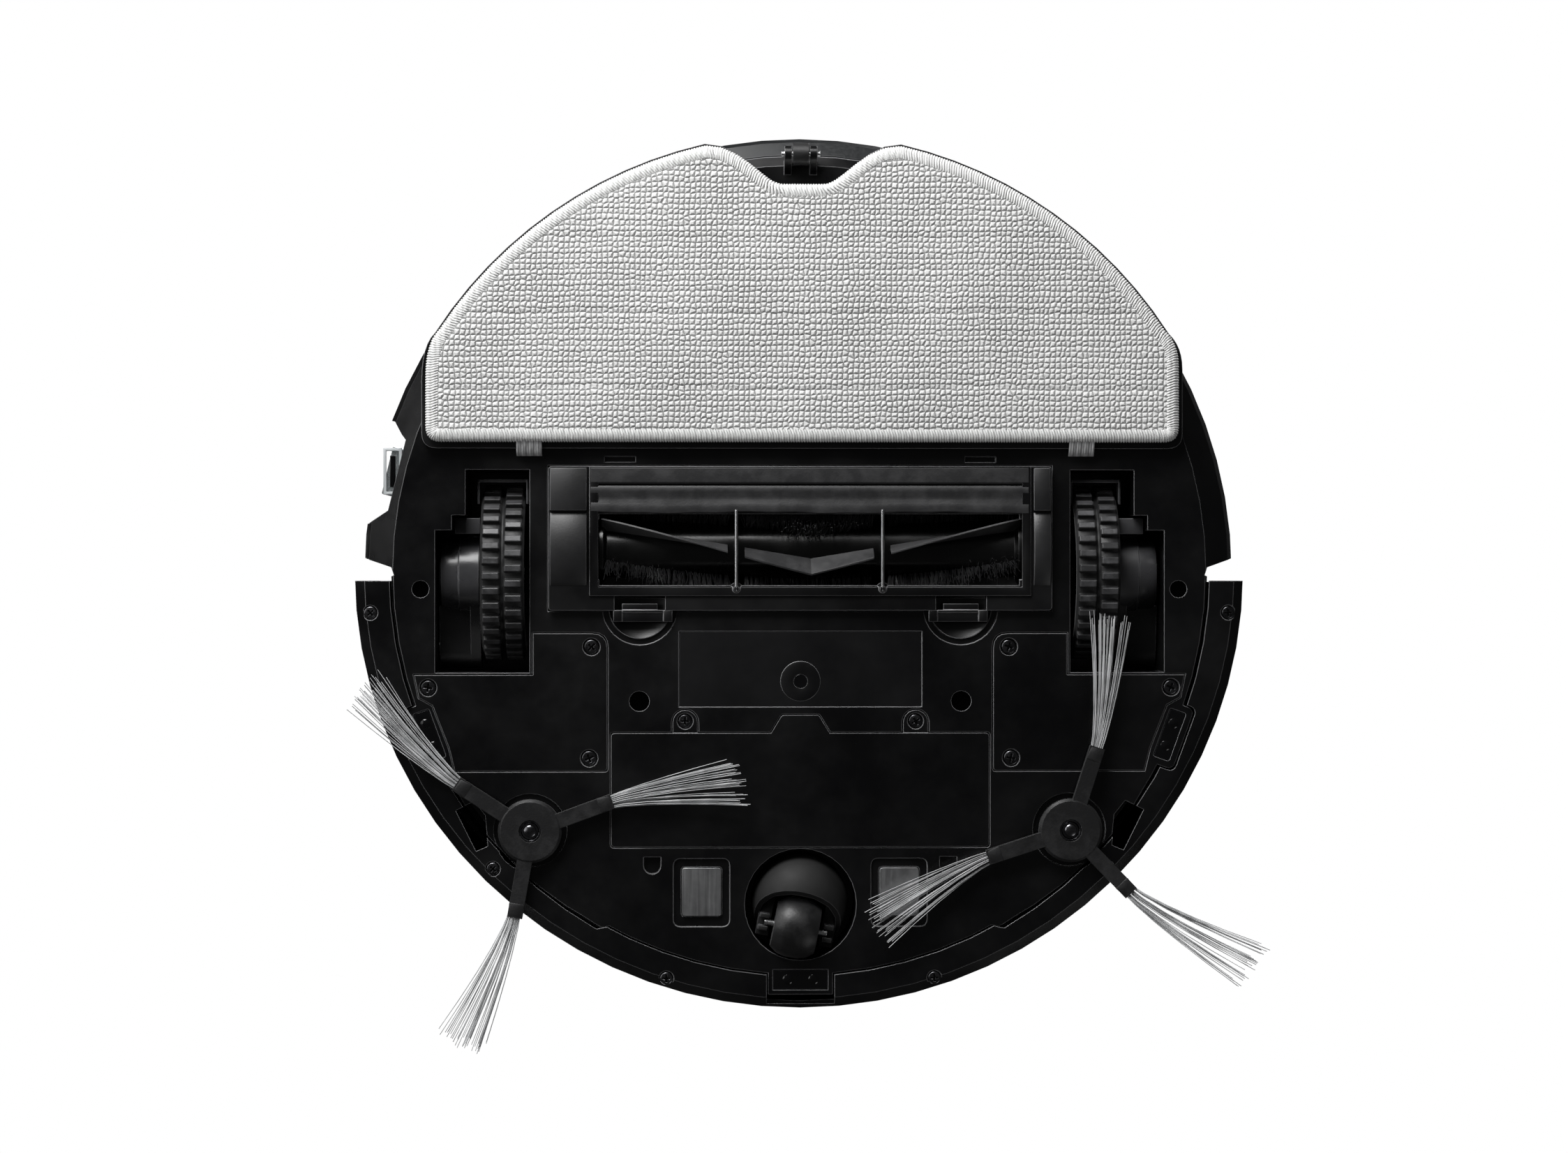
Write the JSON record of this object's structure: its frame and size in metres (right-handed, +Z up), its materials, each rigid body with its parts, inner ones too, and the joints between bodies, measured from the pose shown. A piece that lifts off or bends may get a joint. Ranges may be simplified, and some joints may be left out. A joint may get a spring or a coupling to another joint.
{
  "type": "robot vacuum",
  "caption": "Round floor robot with turret, sprung bumper, swept main brush, splayed side brushes, driven wheels, front caster, slide-out bin and tank, and a clip-on mop.",
  "frame": {"origin": "on the floor plane under the middle of the round body", "axes": "+Z up, -Y the way the robot drives forwards, with the bumper and caster in front, +Y towards the mop; +X is the side with the clear wall sensor"},
  "size_m": [0.3524, 0.3457, 0.094],
  "materials": {
    "body_black": "fine spark-textured black ABS",
    "trim_black": "smooth satin black ABS",
    "inner_grey": "plain dark grey moulded plastic",
    "tyre_rubber": "dull dark grey wheel rubber",
    "soft_rubber": "dark grey soft moulded rubber",
    "clear_lens": "clear moulded lens",
    "dark_lens": "dark infrared window",
    "steel": "polished steel wire and axle",
    "contact_chrome": "nickel-plated contact",
    "tank_tint": "smoke-tinted plastic",
    "cloth_white": "off-white looped microfibre",
    "bristle_nylon": "silver-grey nylon bristle",
    "board_green": "green circuit board",
    "filter_paper": "pleated filter paper"
  },
  "bodies": {
    "chassis": {"base_chassis": "body_black", "top_shell": "trim_black", "lidar_cap": "trim_black", "wall_sensor_lens": "clear_lens", "mainboard": "board_green", "battery_pack": "inner_grey", "battery_cover": "body_black", "fan_housing": "inner_grey", "brush_gearbox": "inner_grey", "module_cover_left": "body_black", "module_cover_right": "body_black", "side_brush_motor_left": "inner_grey", "side_brush_motor_right": "inner_grey", "cliff_sensor_left": "dark_lens", "cliff_sensor_right": "dark_lens", "cliff_sensor_front": "dark_lens", "charge_contact_1": "contact_chrome", "charge_contact_2": "contact_chrome", "trail_axle": "steel"},
    "lidar": {"lidar_rotor": "inner_grey"},
    "power": {"power_button": "trim_black"},
    "dock": {"dock_button": "trim_black"},
    "bumper": {"bumper_shell": "body_black", "bumper_trim": "body_black", "bumper_window": "dark_lens"},
    "fan": {"fan_impeller": "inner_grey"},
    "bin_module": {"dustbin": "tank_tint", "dust_filter": "filter_paper", "water_tank": "tank_tint"},
    "plug": {"tank_plug": "soft_rubber"},
    "latch": {"tank_latch": "trim_black"},
    "roller": {"main_brush_roller": "soft_rubber"},
    "cover": {"brush_cover": "trim_black", "cover_lips": "soft_rubber", "guard_wire_1": "steel", "guard_wire_2": "steel"},
    "cover_tab_left": {"cover_latch_left": "trim_black"},
    "cover_tab_right": {"cover_latch_right": "trim_black"},
    "arm_left": {"wheel_arm_left": "trim_black", "wheel_motor_left": "inner_grey"},
    "arm_right": {"wheel_arm_right": "trim_black", "wheel_motor_right": "inner_grey"},
    "wheel_left": {"wheel_hub_left": "inner_grey", "tyre_left": "tyre_rubber"},
    "wheel_right": {"wheel_hub_right": "inner_grey", "tyre_right": "tyre_rubber"},
    "side_brush_left": {"side_brush_hub_left": "soft_rubber", "tuft_left_1": "bristle_nylon", "tuft_left_2": "bristle_nylon", "tuft_left_3": "bristle_nylon"},
    "side_brush_right": {"side_brush_hub_right": "soft_rubber", "tuft_right_1": "bristle_nylon", "tuft_right_2": "bristle_nylon", "tuft_right_3": "bristle_nylon"},
    "caster_swivel": {"caster_fork": "trim_black", "caster_axle": "steel"},
    "caster_roll": {"caster_wheel": "soft_rubber"},
    "trail": {"trail_roller": "soft_rubber"},
    "mop": {"mop_plate": "trim_black", "mop_cloth": "cloth_white"}
  },
  "joints": [
    {"name": "lidar_spin", "type": "hinge", "parent": "chassis", "child": "lidar", "pos_m": [0, -0.002, 0.077], "axis": [0, 0, 1], "continuous": true},
    {"name": "power_press", "type": "slide", "parent": "chassis", "child": "power", "axis": [0, 0, -1], "range_m": [0, 0.001], "stiffness_N_per_m": 400, "springref_m": -0.001},
    {"name": "dock_press", "type": "slide", "parent": "chassis", "child": "dock", "axis": [0, 0, -1], "range_m": [0, 0.001], "stiffness_N_per_m": 400, "springref_m": -0.001},
    {"name": "bumper_press", "type": "slide", "parent": "chassis", "child": "bumper", "axis": [0, 1, 0], "range_m": [0, 0.0025], "stiffness_N_per_m": 500, "springref_m": -0.003},
    {"name": "fan_spin", "type": "hinge", "parent": "chassis", "child": "fan", "pos_m": [-0.1175, 0.07, 0.03], "axis": [0, 0, 1], "continuous": true},
    {"name": "bin_slide", "type": "slide", "parent": "chassis", "child": "bin_module", "axis": [0, 1, 0], "range_m": [0, 0.14]},
    {"name": "plug_lift", "type": "slide", "parent": "bin_module", "child": "plug", "axis": [0, 0, 1], "range_m": [0, 0.002]},
    {"name": "latch_press", "type": "slide", "parent": "bin_module", "child": "latch", "axis": [0, -1, 0], "range_m": [0, 0.0025], "stiffness_N_per_m": 400, "springref_m": -0.001},
    {"name": "main_brush_spin", "type": "hinge", "parent": "chassis", "child": "roller", "pos_m": [0, 0.009, 0.024], "axis": [1, 0, 0], "continuous": true},
    {"name": "cover_drop", "type": "slide", "parent": "chassis", "child": "cover", "axis": [0, 0, -1], "range_m": [0, 0.025]},
    {"name": "tab_left_press", "type": "slide", "parent": "cover", "child": "cover_tab_left", "axis": [0, 1, 0], "range_m": [0, 0.002], "stiffness_N_per_m": 400, "springref_m": -0.001},
    {"name": "tab_right_press", "type": "slide", "parent": "cover", "child": "cover_tab_right", "axis": [0, 1, 0], "range_m": [0, 0.002], "stiffness_N_per_m": 400, "springref_m": -0.001},
    {"name": "side_brush_left_spin", "type": "hinge", "parent": "chassis", "child": "side_brush_left", "pos_m": [0.1067, -0.102, 0.008], "axis": [0, 0, 1], "continuous": true},
    {"name": "side_brush_right_spin", "type": "hinge", "parent": "chassis", "child": "side_brush_right", "pos_m": [-0.1067, -0.102, 0.008], "axis": [0, 0, 1], "continuous": true},
    {"name": "caster_turn", "type": "hinge", "parent": "chassis", "child": "caster_swivel", "pos_m": [0, -0.1314, 0.03], "axis": [0, 0, 1], "continuous": true},
    {"name": "caster_wheel_spin", "type": "hinge", "parent": "caster_swivel", "child": "caster_roll", "pos_m": [0.00181, -0.14073, 0.012], "axis": [0.9816, 0.1908, 0], "continuous": true},
    {"name": "trail_spin", "type": "hinge", "parent": "chassis", "child": "trail", "pos_m": [0, 0.1648, 0.00435], "axis": [1, 0, 0], "continuous": true},
    {"name": "mop_drop", "type": "slide", "parent": "chassis", "child": "mop", "axis": [0, 0, -1], "range_m": [0, 0.02]},
    {"name": "suspension_left", "type": "hinge", "parent": "chassis", "child": "arm_left", "pos_m": [0.1355, -0.03, 0.04], "axis": [-1, 0, 0], "range_deg": [0, 20], "stiffness_Nm_per_rad": 0.1, "springref_deg": 51.57},
    {"name": "drive_left", "type": "hinge", "parent": "arm_left", "child": "wheel_left", "pos_m": [0.11765, 0, 0.035], "axis": [1, 0, 0], "continuous": true},
    {"name": "suspension_right", "type": "hinge", "parent": "chassis", "child": "arm_right", "pos_m": [-0.1355, -0.03, 0.04], "axis": [-1, 0, 0], "range_deg": [0, 20], "stiffness_Nm_per_rad": 0.1, "springref_deg": 51.57},
    {"name": "drive_right", "type": "hinge", "parent": "arm_right", "child": "wheel_right", "pos_m": [-0.11765, 0, 0.035], "axis": [1, 0, 0], "continuous": true}
  ]
}
